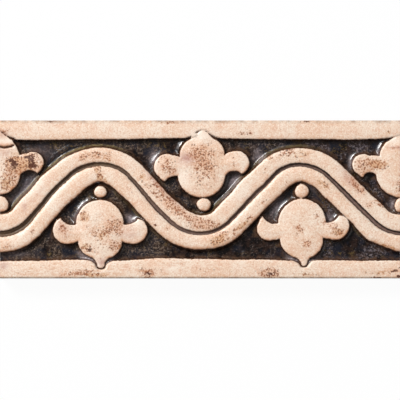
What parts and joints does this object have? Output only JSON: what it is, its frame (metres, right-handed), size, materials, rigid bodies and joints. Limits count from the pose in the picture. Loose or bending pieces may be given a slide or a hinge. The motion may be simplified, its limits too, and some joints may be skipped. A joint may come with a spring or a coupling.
{
  "type": "relief border tile",
  "caption": "Long narrow glazed relief tile with raised rails, a waving grooved ribbon, blossoms and beads over a dark recess; laid end to end as a wall border.",
  "frame": {"origin": "centre of the back, on the plane the tile lies on", "axes": "+X along the border, +Y across it towards the rail above the upper blossoms, +Z out of the relief face"},
  "size_m": [0.1524, 0.06, 0.0115],
  "materials": {
    "glazed_tile": "satin peach glaze on the relief, glossy blue-black glaze pooled in the recess, bare clay behind"
  },
  "bodies": {
    "root": {"border_tile": "glazed_tile"}
  },
  "joints": []
}
